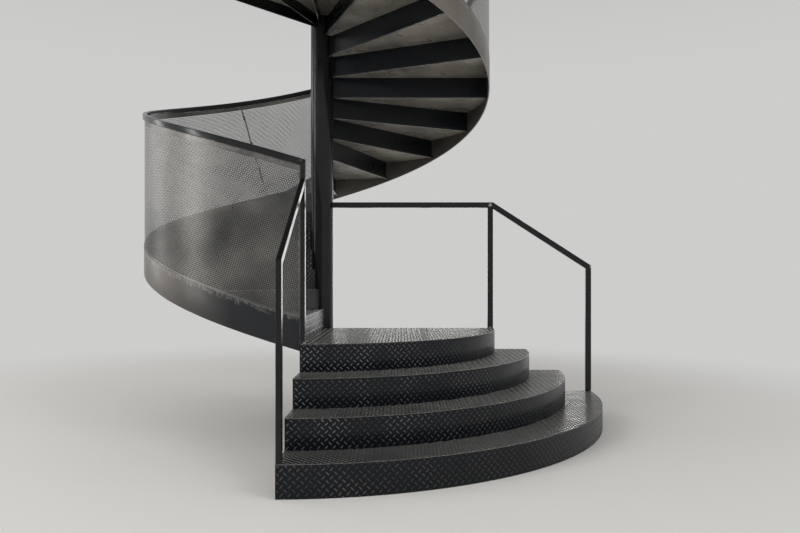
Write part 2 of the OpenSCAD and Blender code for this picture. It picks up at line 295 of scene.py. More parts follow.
def tube_along(path, radius, ripple, seed, sides=6):
    """Points and faces of a bead along a path, with weld ripples from point to point."""
    path = np.asarray(path, float)
    rng = np.random.default_rng(seed)
    tangent = np.gradient(path, axis=0)
    tangent /= np.linalg.norm(tangent, axis=1)[:, None]
    ref = UP if abs(tangent[:, 2]).mean() < 0.9 else np.array([1.0, 0.3, 0.0])
    side = np.cross(tangent, ref)
    side /= np.linalg.norm(side, axis=1)[:, None]
    up = np.cross(side, tangent)
    n = len(path)
    r = radius * (1 + ripple * (rng.random(n) - 0.5) + ripple * 0.6 * (np.arange(n) % 2))
    a = np.arange(sides) * 2 * math.pi / sides
    ring = side[:, None] * np.cos(a)[:, None] + up[:, None] * np.sin(a)[:, None]
    points = path[:, None] + ring * r[:, None, None]
    ends = [list(range(sides))[::-1], [sides * (n - 1) + s for s in range(sides)]]
    return points.reshape(-1, 3), skin(n, sides).tolist() + ends


def straight(a, b, step=0.003):
    """Points from a to b, one step apart."""
    a, b = np.asarray(a, float), np.asarray(b, float)
    n = max(2, int(np.linalg.norm(b - a) / step) + 1)
    return a + (b - a) * np.linspace(0, 1, n)[:, None]


def loop_path(corners, step=0.003):
    """Closed run of points through the corners."""
    corners = [np.asarray(c, float) for c in corners]
    pieces = [straight(a, b, step)[:-1] for a, b in zip(corners, corners[1:] + corners[:1])]
    return np.concatenate(pieces + [pieces[0][:2]])


def add_object(name, data):
    """Adds an object to the scene."""
    made = bpy.data.objects.new(name, data)
    bpy.context.scene.collection.objects.link(made)
    return made


def add_piece(name, lists, material, replaced=(), sharp=40, rim=None):
    """Adds a mesh piece that rides on the stair.

    lists are its points, its faces and, for a wound piece, run and height at its points; rim is
    a second finish and the faces that have it.
    """
    points, faces, *flat = lists
    mesh = bpy.data.meshes.new(name)
    mesh.from_pydata(np.asarray(points).tolist(), [], faces)
    if flat:
        layer = mesh.uv_layers.new(name=RUN_AND_HEIGHT)
        index = np.zeros(len(mesh.loops), np.int32)
        mesh.loops.foreach_get("vertex_index", index)
        layer.data.foreach_set("uv", np.asarray(flat[0], np.float32)[index].ravel())
    mesh.polygons.foreach_set("use_smooth", np.ones(len(mesh.polygons), bool))
    mesh.set_sharp_from_angle(angle=math.radians(sharp))
    mesh.materials.append(material)
    if rim:
        mesh.materials.append(rim[0])
        on_rim = np.isin(np.arange(len(faces)), rim[1])
        mesh.polygons.foreach_set("material_index", on_rim.astype(np.int32))
    mesh.update()
    piece = add_object(name, mesh)
    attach(piece, "root")
    if replaced:
        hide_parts(*replaced)
    return piece


def add_node(tree, kind, inputs=(), **settings):
    """Adds a node with its settings.

    inputs gives its sockets, by name or in their order, a value or a node or socket to link; a
    node stands for its first output in use. Sockets 0, 6 and 7 of a colour mix are its factor
    and two colours.
    """
    node = tree.nodes.new("ShaderNode" + kind)
    for key, value in settings.items():
        setattr(node, key, value)
    for key, value in inputs.items() if isinstance(inputs, dict) else enumerate(inputs):
        if isinstance(value, bpy.types.Node):
            value = next(socket for socket in value.outputs if socket.enabled)
        if isinstance(value, bpy.types.NodeSocket):
            tree.links.new(value, node.inputs[key])
        else:
            node.inputs[key].default_value = value
    return node


def mottle(place, millimetres, detail, roughness):
    """Inputs of a noise whose largest patches are about so many millimetres across."""
    scale = 1000 / millimetres
    return {"Vector": place, "Scale": scale, "Detail": detail, "Roughness": roughness}


def two_toned(add, factor, first, second, metallic, roughness, **others):
    """Inputs of a shader whose colour goes from first to second with factor."""
    colour = add("Mix", {0: factor, 6: first, 7: second}, data_type="RGBA")
    return {"Base Color": colour, "Metallic": metallic, "Roughness": roughness, **others}


def finish(draw):
    """Makes a function that draws a finish give its material, which is drawn on first use.

    draw is given a function that adds a node, the place on the object and the colours. It gives
    the inputs of the shader, or a shader. The material is named for draw or as the call says.
    """
    def give(name=draw.__name__.replace("_", " ").capitalize(), *details):
        material = bpy.data.materials.get(name)
        if material is None:
            material = bpy.data.materials.new(name)
            material.use_nodes = True
            material.node_tree.nodes.clear()
            add = functools.partial(add_node, material.node_tree)
            place = add("TexCoord").outputs["Object"]
            surface = draw(add, place, bpy.context.scene.stair_colours, *details)
            if isinstance(surface, dict):
                surface = add("BsdfPrincipled", surface)
            add("OutputMaterial", {"Surface": surface})
        return material
    return give


def facing(add, low, high):
    """How far a surface faces up (or down, for negative limits), from 0 to 1."""
    normal = add("NewGeometry").outputs["True Normal"]
    return add("MapRange", (add("SeparateXYZ", (normal,)).outputs["Z"], low, high))


def ground_and_highlight_patch(add, place, spots, reach):
    """Ragged pale patches about the given points, where welds were ground flush, drawn as a painted
    highlight.
    """
    nearest = 0.0
    for spot in spots:
        away = add("VectorMath", (place, spot), operation="DISTANCE").outputs["Value"]
        near = add("MapRange", (away, 0.3 * reach, reach, 1, 0))
        nearest = add("Math", (nearest, near), operation="MAXIMUM")
    rag = add("TexNoise", mottle(place, 12, 5, 0.7))
    return add("Math", (nearest, add("MapRange", (rag, 0.42, 0.62))), operation="MULTIPLY")


def rubbed_crowns(add, place, rubbed, waxed, bare, roughest):
    """Shader inputs of lozenges that are as bare, and as bright with painted glints, as rubbed
    says.
    """
    grain = add("TexNoise", mottle(place, 30, 4, 0.55))
    rough = add("MapRange", (grain, 0.3, 0.7, 0.14, roughest))
    return two_toned(add, rubbed, waxed, bare, rubbed, rough)


@finish
def waxed_blackened_checker_plate(add, place, c):
    """Blackened rolled plate under clear wax.

    Dusty scuffs show on what is walked on; the smooth underside is smudged and painted lighter, a
    painted reflection of the lit floor that also draws bright lines on downward edges.
    """
    clouds = add("TexNoise", mottle(place, 300, 5, 0.6))
    scuffs = add("TexNoise", mottle(place, 35, 6, 0.7))
    smears = add("TexNoise", mottle(place, 350, 4, 0.5))
    above, under = facing(add, 0.6, 0.95), facing(add, -0.6, -0.95)
    dust = add("MapRange", (clouds, 0.42, 0.72, 0.0, 0.5))
    dust = add("Math", (above, dust), operation="MULTIPLY")
    # painted reflection: faces turned down take the pale soffit colour in smudged patches, as if
    # lit by the floor
    smudge_and_painted_reflection = add("MapRange", (smears, 0.30, 0.62, 0.35, 1.0))
    smudge_and_painted_reflection = add("Math", (under, smudge_and_painted_reflection), operation="MULTIPLY")
    colour = add("Mix", {0: dust, 6: c.plate, 7: c.plate_dust}, data_type="RGBA")
    rough = add("MapRange", (clouds, 0.3, 0.7, 0.24, 0.34))
    rough = add("Math", (above, 0.22, rough), operation="MULTIPLY_ADD")
    scuffed = add("MapRange", (scuffs, 0.35, 0.75, -0.04, 0.10))
    # rolling marks are about 1 mm across; drawn at 9 mm so that they show
    rolled = add("TexNoise", mottle(place, 9, 3, 0.55))
    return {
        "Base Color": add("Mix", {0: smudge_and_painted_reflection, 6: colour, 7: c.soffit}, data_type="RGBA"),
        "Metallic": add("Math", (smudge_and_painted_reflection, 0.3), operation="MULTIPLY"),
        "Roughness": add("Math", (above, scuffed, rough), operation="MULTIPLY_ADD"),
        "Normal": add("Bump", {"Height": rolled, "Distance": 0.0002, "Strength": 0.25}),
        "IOR": 1.42,
        "Specular IOR Level": 0.3,
    }


@finish
def walked_lozenges_of_rolled_plate(add, place, c):
    """Lozenges of the treads, rubbed to bright steel by feet in patches, with a painted reflection
    brightest by the right guard and from the landing up.
    """
    patches = add("TexNoise", mottle(place, 200, 5, 0.6))
    # feet wear the lozenges, and a painted reflection brightens the landing, the winders and the
    # side of the wide steps by the right guard
    side, _, up = add("SeparateXYZ", (place,)).outputs
    by_guard = add("MapRange", (side, 0.5, 1.7, 0.3, 1.0))
    by_height = add("MapRange", (up, 3.5 * STEP_RISE, 3.9 * STEP_RISE))
    walk_and_painted_reflection = add("Math", (by_guard, by_height), operation="MAXIMUM")
    patches = add("MapRange", (patches, 0.34, 0.56, 0.45, 1.0))
    rubbed = add("Math", (patches, walk_and_painted_reflection), operation="MULTIPLY")
    return rubbed_crowns(add, place, rubbed, c.crown, c.crown_bare_and_glinting, 0.26)


@finish
def waxed_lozenges_of_rolled_plate(add, place, c):
    """Lozenges of the risers: black and glossy, with painted glints where the wax is drawn rubbed.
    """
    patches = add("TexNoise", mottle(place, 250, 5, 0.6))
    # painted glints: the left of the risers glints most, and the lowest one least
    side, _, up = add("SeparateXYZ", (place,)).outputs
    by_side = add("MapRange", (side, 0.1, 1.0, 1.0, 0.35))
    by_height = add("MapRange", (up, 0.5 * STEP_RISE, 2.4 * STEP_RISE, 0.3, 1.0))
    reach = add("Math", (by_side, by_height), operation="MULTIPLY")
    patches = add("MapRange", (patches, 0.42, 0.64, 0.1, 0.95))
    # rubbed marks the painted glints as well as the rubbed wax
    rubbed = add("Math", (reach, patches), operation="MULTIPLY")
    return {**rubbed_crowns(add, place, rubbed, c.crown, c.crown_rubbed_and_glinting, 0.24), "IOR": 1.42}


@finish
def rubbed_edge_with_painted_highlight(add, place, c):
    """Sheared edge of the plate, rubbed bare and dented, and painted pale: a thin broken painted
    highlight line.
    """
    dents = add("TexNoise", mottle(place, 90, 6, 0.7))
    worn_and_painted_highlight = add("MapRange", (dents, 0.36, 0.56, 0.1, 0.95))
    rough = add("MapRange", (worn_and_painted_highlight, 0.0, 1.0, 0.34, 0.22))
    return two_toned(add, worn_and_painted_highlight, c.plate, c.plate_edge, worn_and_painted_highlight, rough)


@finish
def satin_enamel_on_tube(add, place, c, spots=()):
    """Satin black enamel on drawn tube: smooth, hazed by hands, ground bright at its welds as a
    painted highlight.
    """
    marks = add("TexNoise", mottle(place, 160, 5, 0.55))
    haze = add("MapRange", (marks, 0.4, 0.8))
    # orange peel of the spray is under 1 mm across; drawn at 25 mm so that it shows
    peel = add("TexNoise", mottle(place, 25, 2, 0.55))
    # the light sees the tube's corners wider rounded than they are, so that they show
    corners = add("Bevel", {"Radius": 0.006}, samples=6)
    relief = add("Bump", {"Height": peel, "Distance": 0.0002, "Strength": 0.03, "Normal": corners})
    rough = add("MapRange", (marks, 0.3, 0.75, 0.16, 0.25))
    enamel = two_toned(add, haze, c.tube, c.tube_haze, 0.0, rough, Normal=relief)
    if spots:
        # painted highlight: pale ground metal about the joints
        ground = ground_and_highlight_patch(add, place, spots, 0.02)
        shine = add("Math", (ground, 0.6), operation="MULTIPLY")
        enamel = two_toned(add, ground, enamel["Base Color"], c.grind, shine, rough, Normal=relief)
    return {**enamel, "Specular IOR Level": 0.33}


@finish
def waxed_hot_rolled_steel(add, place, c):
    """Hot rolled flat bar under clear wax.

    Cloudy mill scale, with painted shade that makes it darkest at the foot of the stair, and wiped
    and ground streaks along its top edge; faces turned down are painted pale as a highlight along
    the lower edge.
    """
    along = add("UVMap", uv_map=RUN_AND_HEIGHT)
    run, height, _ = add("SeparateXYZ", (along,)).outputs
    scale = add("TexNoise", mottle(place, 450, 4, 0.5))
    # the ragged lower limit of the streaks wanders between 10 and 56 mm below the edge
    ragged = add("Mapping", {"Vector": along, "Scale": (1, 2.5, 1)})
    ragged = add("TexNoise", mottle(ragged, 110, 6, 0.7))
    limit = add("MapRange", (ragged, 0.32, 0.68, -0.050, -0.004))
    above = add("MapRange", (add("Math", (height, limit), operation="SUBTRACT"), 0.0, 0.008))
    wiped = add("Mapping", {"Vector": along, "Scale": (1, 0.35, 1)})
    wiped = add("TexNoise", mottle(wiped, 30, 5, 0.75))
    wiped = add("MapRange", (wiped, 0.44, 0.74, 0.0, 0.5))
    streak = add("Math", (above, wiped), operation="MULTIPLY")
    clouds = add("MapRange", (scale, 0.30, 0.65, 0.6, 1.0))
    # painted shade: toward the foot of the stair the band is drawn as dark mill scale
    clean_and_painted_light = add("Math", (clouds, add("MapRange", (run, 0.45, 1.20))), operation="MULTIPLY")
    steel = add("Mix", {0: clean_and_painted_light, 6: c.band_scale, 7: c.band}, data_type="RGBA")
    steel = add("Mix", {0: streak, 6: steel, 7: c.grind}, data_type="RGBA")
    rough = add("MapRange", (scale, 0.3, 0.7, 0.44, 0.30))
    pits = add("TexNoise", mottle(place, 12, 4, 0.55))
    rough = add("Math", (streak, 0.15, rough), operation="MULTIPLY_ADD")
    relief = add("Bump", {"Height": pits, "Distance": 0.0003, "Strength": 0.3})
    # painted highlight: faces turned down take the pale ground steel colour along the lower edge
    return two_toned(add, facing(add, -0.1, -0.5), steel, c.grind, 0.7, rough, Normal=relief)


@finish
def waxed_perforated_steel_sheet(add, place, c):
    """Punched steel sheet under clear wax.

    A dark metal sheen, clouded, with wiped weld marks along the plain strip under the rail.
    """
    along = add("UVMap", uv_map=RUN_AND_HEIGHT)
    height = add("SeparateXYZ", (along,)).outputs["Y"]
    marks = add("TexNoise", mottle(place, 350, 4, 0.55))
    strip_low = RAIL_LOW - bpy.context.scene.stair_sizes.margin_top
    strip = add("MapRange", (height, strip_low - 0.004, strip_low + 0.006))
    wiped = add("Mapping", {"Vector": along, "Scale": (1, 2, 1)})
    wiped = add("TexNoise", mottle(wiped, 60, 6, 0.72))
    wiped = add("MapRange", (wiped, 0.50, 0.70, 0.0, 0.45))
    wiped = add("Math", (strip, wiped), operation="MULTIPLY")
    cloud = add("MapRange", (marks, 0.35, 0.7))
    steel = add("Mix", {0: cloud, 6: c.sheet_dark, 7: c.sheet}, data_type="RGBA")
    rough = add("MapRange", (marks, 0.3, 0.7, 0.30, 0.40))
    return two_toned(add, wiped, steel, c.grind, 0.85, rough)


@finish
def brushed_weld_bead(add, place, c):
    """Rippled weld bead, brushed and waxed: grey, with a dull shine on its ripples."""
    grain = add("TexNoise", mottle(place, 6, 4, 0.7))
    bright = add("MapRange", (grain, 0.35, 0.65))
    rough = add("MapRange", (grain, 0.3, 0.7, 0.35, 0.55))
    return two_toned(add, bright, c.band_scale, c.weld, 0.8, rough)


@finish
def zinc_plated_steel(add, place, c):
    """Bright zinc plating on turned bolts: pale, with small spangles."""
    spangle = add("TexNoise", mottle(place, 8, 4, 0.55))
    dull = add("MapRange", (spangle, 0.4, 0.6))
    rough = add("MapRange", (spangle, 0.3, 0.7, 0.28, 0.42))
    return two_toned(add, dull, c.zinc, c.weld, 1.0, rough)


def seen_itself(add):
    """1 for rays by which a thing is seen, straight or in a mirror, and 0 where it only lights."""
    rays = add("LightPath").outputs
    seen = add("Math", (rays["Is Camera Ray"], rays["Is Glossy Ray"]), operation="MAXIMUM")
    return add("Math", (seen, rays["Is Transmission Ray"]), operation="MAXIMUM")


@finish
def matt_painted_studio_floor(add, place, c):
    """Matt pale paint without any gloss, which runs into the backdrop without a line."""
    away = add("VectorMath", (place,), operation="LENGTH").outputs["Value"]
    far = add("MapRange", (away, 2.6, 6.5), interpolation_type="SMOOTHSTEP")
    far = add("Math", (seen_itself(add), far), operation="MULTIPLY")
    matt = {"Base Color": c.floor, "Roughness": 0.9, "Specular IOR Level": 0.0}
    paint = add("BsdfPrincipled", matt)
    return add("MixShader", (far, paint, add("Emission", {"Color": c.backdrop})))


def guard_joints():
    """Points where guard tubes meet and were ground flush, and where a highlight is painted."""
    left, right, mid, start = (
        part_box(node) for node in ("left_post", "right_post", "landing_post", "start_post"))
    left_y, mid_x = left[0].y + POST_W / 2, mid[1].x - POST_W / 2
    return [
        (left[1].x, left_y, left[1].z - 0.01),
        (left[1].x, left_y, left[0].z),
        (right[1].x, right[0].y, right[1].z - 0.01),
        (right[1].x, right[0].y, right[0].z),
        (mid_x, mid[0].y, mid[1].z + POST_W / 2),
        (mid_x, mid[0].y, mid[0].z),
        (start[0].x, start[0].y, start[1].z),
        (start[1].x, start[0].y, start[0].z),
    ]


def finish_nodes(material, *nodes):
    """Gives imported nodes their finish."""
    for node in nodes:
        data = frame["nodes"][node].data
        data.materials.clear()
        data.materials.append(material)


def nodes_of(*slots):
    """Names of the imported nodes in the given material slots."""
    return [part["node"] for part in frame["record"]["subparts"] if part["material_slot"] in slots]


class STAIR_OT_column(bpy.types.Operator):
    """Finish the column with its base flange and cap"""

    bl_idname = "stair.column"
    bl_label = "Column"

    def execute(self, context):
        tube = satin_enamel_on_tube("Satin enamel on column tube")
        finish_nodes(tube, "column", "column_base", "column_cap")
        return {"FINISHED"}


class STAIR_OT_plates(bpy.types.Operator):
    """Finish the treads, risers, winders and end plates"""

    bl_idname = "stair.plates"
    bl_label = "Checker plates"

    def execute(self, context):
        finish_nodes(waxed_blackened_checker_plate(), *nodes_of("checker_plate", "end_plates"))
        return {"FINISHED"}


class STAIR_OT_guards(bpy.types.Operator):
    """Finish the posts and straight rails and the platform frame"""

    bl_idname = "stair.guards"
    bl_label = "Posts and rails"

    def execute(self, context):
        tube = satin_enamel_on_tube("Satin enamel on guard tube", guard_joints())
        finish_nodes(tube, *(n for n in nodes_of("rail_steel") if not n.startswith("top_rail")))
        finish_nodes(satin_enamel_on_tube("Satin enamel on platform frame"), "platform_frame")
        return {"FINISHED"}


class STAIR_OT_bands(bpy.types.Operator):
    """Wind the stringer bands with eased edges"""

    bl_idname = "stair.bands"
    bl_label = "Stringer bands"

    def execute(self, context):
        steel = waxed_hot_rolled_steel()
        for i in range(1, SECTIONS + 1):
            section = eased_section(
                BAND_R - BAND_T, BAND_R, BAND_LOW, BAND_OVER, 0.002, section_ends(i))
            add_piece(f"stringer_band_{i}", wind(section), steel, (f"band_{i}",))
        return {"FINISHED"}


class STAIR_OT_band_edges(bpy.types.Operator):
    """Rub bare the outer edges of the stringer bands, with a painted highlight along them"""

    bl_idname = "stair.band_edges"
    bl_label = "Stringer edges"

    def execute(self, context):
        edges = []
        inset, radius = 0.0012, 0.0016
        a = np.radians(np.arange(0, 360, 60))
        for i in range(1, SECTIONS + 1):
            ends = section_ends(i, 0.05)
            for height in (BAND_LOW + inset, BAND_OVER - inset):
                ring = zip(BAND_R - inset + radius * np.cos(a), height + radius * np.sin(a))
                edges.append(wind([(r, v, *ends(r, v)) for r, v in ring], 1.5)[:2])
        bare = rubbed_edge_with_painted_highlight()
        add_piece("stringer_edges", join(edges), bare, sharp=180)
        return {"FINISHED"}


class STAIR_OT_top_rails(bpy.types.Operator):
    """Wind the rounded top rail, with its mitre over the start post"""

    bl_idname = "stair.top_rails"
    bl_label = "Top rails"

    def execute(self, context):
        tube = satin_enamel_on_tube("Satin enamel on guard tube", guard_joints())

        def mitred_ends(r, v):
            over = POST_T * (v - RAIL_LOW) / RAIL_H
            return plane_azimuth(r, END_X + over), section_end(1, r, v)

        for i in range(1, SECTIONS + 1):
            section = eased_section(
                SHEET_R - RAIL_W / 2, SHEET_R + RAIL_W / 2, RAIL_LOW, RAIL_OVER, RAIL_ROUND,
                section_ends(i) if i > 1 else mitred_ends, (-90, -60, -30, 0))
            add_piece(f"top_rail_tube_{i}", wind(section), tube, (f"top_rail_{i}",))
        return {"FINISHED"}


def hole_field(i, sizes):
    """Sheet section i with its staggered round holes, as points, faces and (run, height).

    Rows of holes run up the helix. Each hole has twelve corners, numbered from 15 degrees:
    four-sided faces join it to its neighbours, six-sided ones fill the space between three
    holes, and the last faces reach from the outer holes to the sheet's edges.
    """
    pitch, hole_r = sizes.hole_pitch, sizes.hole / 2
    row = pitch * math.sqrt(3) / 2
    slope = math.atan(HELIX_SLOPE)
    cos, sin = math.cos(slope), math.sin(slope)
    low, high = (BAND_OVER + SEAT) * cos, (RAIL_LOW - SEAT) * cos
    first_w = low + sizes.margin_foot + hole_r
    rows = int((high - sizes.margin_top - hole_r - first_w) / row) + 1
    margins = [hole_r + (sizes.margin_end if end in (0, SECTIONS) else sizes.margin_seam)
               for end in (i - 1, i)]

    def side_u(side, w):
        """Where side 0, at the section's start, or side 1, at its end, is w up the sheet."""
        azimuth = section_end(i - 1 + side, SHEET_R, w / cos)
        gap = SEAT if i > 1 and side == 0 else 0.0
        return (SHEET_R * math.radians(azimuth - FIRST) + w * sin) / cos + gap

    corner = np.radians(15 + 30 * np.arange(12))
    rim = np.stack([np.cos(corner), np.sin(corner)], -1) * hole_r
    spots, at_u, first_hole = [], [], [0]
    for j in range(rows):
        w = first_w + j * row
        phase = 0.5 * (j % 2)
        first = math.ceil((side_u(0, w) + margins[0]) / pitch - phase)
        last = math.floor((side_u(1, w) - margins[1]) / pitch - phase)
        u = (np.arange(first, last + 1) + phase) * pitch
        spots.append((np.stack([u, np.full(len(u), w)], -1)[:, None] + rim).reshape(-1, 2))
        at_u.append(u)
        first_hole.append(first_hole[-1] + len(u))
    faces, edge = [], []

    def fill(*corners):
        """Faces through the given corners of the given holes."""
        faces.extend(np.stack([12 * hole + k for hole, k in corners], -1).tolist())

    def border(u, w):
        edge.append((u, w))
        return 12 * first_hole[-1] + len(edge) - 1

    for j in range(rows):
        count = len(at_u[j])
        here = first_hole[j] + np.arange(count)
        fill((here[:-1], 0), (here[1:], 5), (here[1:], 6), (here[:-1], 11))
        if j + 1 == rows:
            break
        # above[c] is the upper right neighbour of hole c in this row
        above = np.arange(count) + round((at_u[j][0] - at_u[j + 1][0]) / pitch + 0.5)
        right_ok = (above >= 0) & (above < len(at_u[j + 1]))
        left_ok = (above >= 1) & (above - 1 < len(at_u[j + 1]))
        over = first_hole[j + 1] + above
        c, o = here[right_ok], over[right_ok]
        fill((c, 2), (o, 7), (o, 8), (c, 1))
        c, o = here[left_ok], over[left_ok] - 1
        fill((c, 4), (o, 9), (o, 10), (c, 3))
        paired = right_ok[:-1]
        c, r, o = here[:-1][paired], here[1:][paired], over[:-1][paired]
        fill((c, 1), (o, 8), (o, 9), (r, 4), (r, 5), (c, 0))
        c, o = here[right_ok & left_ok], over[right_ok & left_ok]
        fill((c, 3), (o - 1, 10), (o - 1, 11), (o, 6), (o, 7), (c, 2))
    corners = {(side, w): border(side_u(side, w), w) for side in (0, 1) for w in (low, high)}
    # the edges beside the posts and seams
    for side in (0, 1):
        below, from_k = corners[side, low], (6, 11)[side]
        for j in range(rows):
            hole, above = (12 * (first_hole[min(k + side, rows)] - side) for k in (j, j + 1))
            if j + 1 == rows:
                top, to_k = corners[side, high], (5, 0)[side]
            else:
                w = first_w + (j + 0.5) * row
                top = border(side_u(side, w), w)
                to_k = ((4, 3), (2, 1))[int(at_u[j + 1][-side] > at_u[j][-side])][side]
            arc = range(from_k, to_k + 13) if side else range(to_k, from_k + 1)
            ring = [hole + k % 12 for k in arc]
            faces.append(ring + [top, below] if side else [below, top] + ring)
            below, from_k = top, to_k + (5, 7)[side]
            if j + 1 < rows:
                wedge = [top, above + from_k, hole + to_k]
                faces.append(wedge[::-1] if side else wedge)
    # the edges along the band and the top rail
    for j, w, arc in ((0, low, range(6, 12)), (rows - 1, high, range(6))):
        inner = [border(u + pitch / 2, w) for u in at_u[j][:-1]]
        line = [corners[0, w], *inner, corners[1, w]]
        for c, (left, right) in enumerate(zip(line, line[1:])):
            hole = 12 * (first_hole[j] + c)
            ring = [hole + k for k in arc]
            faces.append([left, *ring, right] if j == 0 else [left, right, *ring])
            if c < len(inner):
                faces.append([right, hole + 11, hole + 18] if j == 0 else [right, hole + 17, hole])
    u, w = np.concatenate(spots + [np.array(edge)]).T
    a = (u * cos - w * sin) / SHEET_R + math.radians(FIRST)
    z = LANDING_Z + WINDER_RISE + u * sin + w * cos
    points = np.stack([SHEET_R * np.sin(a), SHEET_R * np.cos(a), z], -1)
    return points, faces, np.stack([u, w / cos], -1)


class STAIR_OT_sheets(bpy.types.Operator):
    """Punch and wind the perforated sheets"""

    bl_idname = "stair.sheets"
    bl_label = "Perforated sheets"

    def execute(self, context):
        sizes = context.scene.stair_sizes
        if sizes.hole >= sizes.hole_pitch * 0.96:
            raise RuntimeError("the holes of the perforated sheet run into each other")
        steel = waxed_perforated_steel_sheet()
        for i in range(1, SECTIONS + 1):
            points, faces, flat = hole_field(i, sizes)
            # the longest section is kept as two pieces
            run = flat[[f[0] for f in faces], 0]
            lower = run < np.median(run)
            halves = {"a": lower, "b": ~lower} if i == 1 else {"": np.full(len(faces), True)}
            for letter, wanted in halves.items():
                chosen = [faces[k] for k in np.nonzero(wanted)[0]]
                used = np.unique(np.concatenate([np.asarray(f) for f in chosen]))
                number = np.full(len(points), -1)
                number[used] = np.arange(len(used))
                number = number.tolist()
                local = [[number[v] for v in f] for f in chosen]
                add_piece(f"perforated_sheet_{i}{letter}", (points[used], local, flat[used]), steel,
                          (f"sheet_{i}",), sharp=180)
        return {"FINISHED"}


def lozenge_field(region, keep_in, to_space, walked=False):
    """Rolled lozenges over a flat region, with flat tops where they are walked on.

    region is the lowest and highest a and b, keep_in moves points inside the plate's edges and
    to_space maps a, b and height to space. Returns points and faces.
    """
    sizes = bpy.context.scene.stair_sizes
    pitch = sizes.lozenge_pitch
    half_l, half_w = sizes.lozenge_length / 2, sizes.lozenge_width / 2
    top, foot = sizes.lozenge_height, -0.0002
    if walked:
        rim = np.array([(-1, 0), (-0.42, -1), (0.42, -1), (1, 0), (0.42, 1), (-0.42, 1)])
        outline = np.concatenate([rim, rim * (0.84, 0.56)]) * (half_l, half_w)
        height = np.array([foot] * 6 + [top] * 6)
        faces = [(k, (k + 1) % 6, 6 + (k + 1) % 6) for k in range(6)]
        faces += [(k, 6 + (k + 1) % 6, 6 + k) for k in range(6)]
        faces += [(6, 7, 8), (6, 8, 9), (6, 9, 10), (6, 10, 11)]
    else:
        outline = np.array([(-1, 0), (-0.62, -0.66), (0, -1), (0.62, -0.66), (1, 0), (0.62, 0.66),
                            (0, 1), (-0.62, 0.66), (-0.5, 0), (0.5, 0)]) * (half_l, half_w)
        height = np.array([foot] * 8 + [top] * 2)
        faces = [(0, 1, 8), (1, 2, 8), (2, 9, 8), (2, 3, 9), (3, 4, 9),
                 (0, 8, 7), (7, 8, 6), (6, 8, 9), (6, 9, 5), (5, 9, 4)]
    centres, turns = [], []
    for offset, turn in ((0.0, 45), (0.5, -45)):
        lines = [np.arange(math.floor(low / pitch) - 1, math.ceil(high / pitch) + 1) + offset
                 for low, high in zip(*region)]
        grid = np.stack(np.meshgrid(*lines, indexing="ij"), -1).reshape(-1, 2) * pitch
        centres.append(grid)
        turns.append(np.full(len(grid), math.radians(turn)))
    centres, turns = np.concatenate(centres), np.concatenate(turns)
    # lozenges whose middle is further outside than this are left off
    cut = 0.009
    near = np.linalg.norm(keep_in(centres) - centres, axis=1) < cut
    centres, turns = centres[near], turns[near]
    cos, sin = np.cos(turns)[:, None], np.sin(turns)[:, None]
    spots = np.stack([outline[:, 0] * cos - outline[:, 1] * sin,
                      outline[:, 0] * sin + outline[:, 1] * cos], -1) + centres[:, None]
    spots = keep_in(spots.reshape(-1, 2)).reshape(-1, len(outline), 2)
    points = to_space(spots[..., 0], spots[..., 1], np.broadcast_to(height, spots.shape[:2]))
    points = points.reshape(-1, 3)
    which = np.arange(len(centres))[:, None, None] * len(outline) + np.array(faces)
    which = which.reshape(-1, 3)
    # faces that the plate's edge cuts down to nothing are left off
    first, second, third = points[which[:, 0]], points[which[:, 1]], points[which[:, 2]]
    area = np.linalg.norm(np.cross(second - first, third - first), axis=1) / 2
    return points, which[area > 1e-9].tolist()


def into_ring(r_in, r_out, x_min, y_max):
    """Moves plan points into a quarter ring."""
    def keep(p):
        q = p.copy()
        q[:, 0] = np.maximum(q[:, 0], x_min)
        q[:, 1] = np.minimum(q[:, 1], y_max)
        r = np.maximum(np.linalg.norm(q, axis=1), 1e-6)
        return q * (np.clip(r, r_in, r_out) / r)[:, None]
    return keep


def into_box(lowest, highest):
    """Moves points into a flat box."""
    return lambda p: np.clip(p, lowest, highest)


def into_sector(r_in, r_out, b_front, turn, b_back):
    """Moves points into a winder's plan: a runs along its riser's radial line, b down the stair."""
    t = math.radians(turn)
    back = np.array([math.sin(t), math.cos(t)])

    def keep(p):
        q = p.copy()
        for _ in range(3):
            q[:, 1] = np.minimum(q[:, 1], b_front)
            short = b_back - q @ back
            q += np.maximum(short, 0)[:, None] * back
            r = np.maximum(np.linalg.norm(q, axis=1), 1e-6)
            q *= (np.clip(r, r_in, r_out) / r)[:, None]
        return q
    return keep


def on_plan(z, azimuth=None):
    """Map from plan coordinates to space at height z, turned to an azimuth for a winder."""
    e, f = np.eye(3)[:2] if azimuth is None else (radial(azimuth), downstairs(azimuth))
    return lambda a, b, h: a[..., None] * e + b[..., None] * f + (z + h)[..., None] * UP


def on_cylinder(radius):
    """Map from arc length and height to space on a curved riser."""
    def place(a, b, h):
        t = a / radius
        return np.stack([(radius + h) * np.sin(t), (radius + h) * np.cos(t), b], -1)
    return place


def on_riser(azimuth):
    """Map from distance along a winder's riser and height to space."""
    e, f = radial(azimuth), downstairs(azimuth)
    return lambda a, b, h: a[..., None] * e + (END_X + h)[..., None] * f + b[..., None] * UP


def add_lozenges(part, walked, upright):
    """Adds the lozenges of a flight's treads and of its risers."""
    add_piece(f"{part}_tread_lozenges", join(walked), walked_lozenges_of_rolled_plate(),
              sharp=28)
    add_piece(f"{part}_riser_lozenges", join(upright), waxed_lozenges_of_rolled_plate(),
              sharp=180)


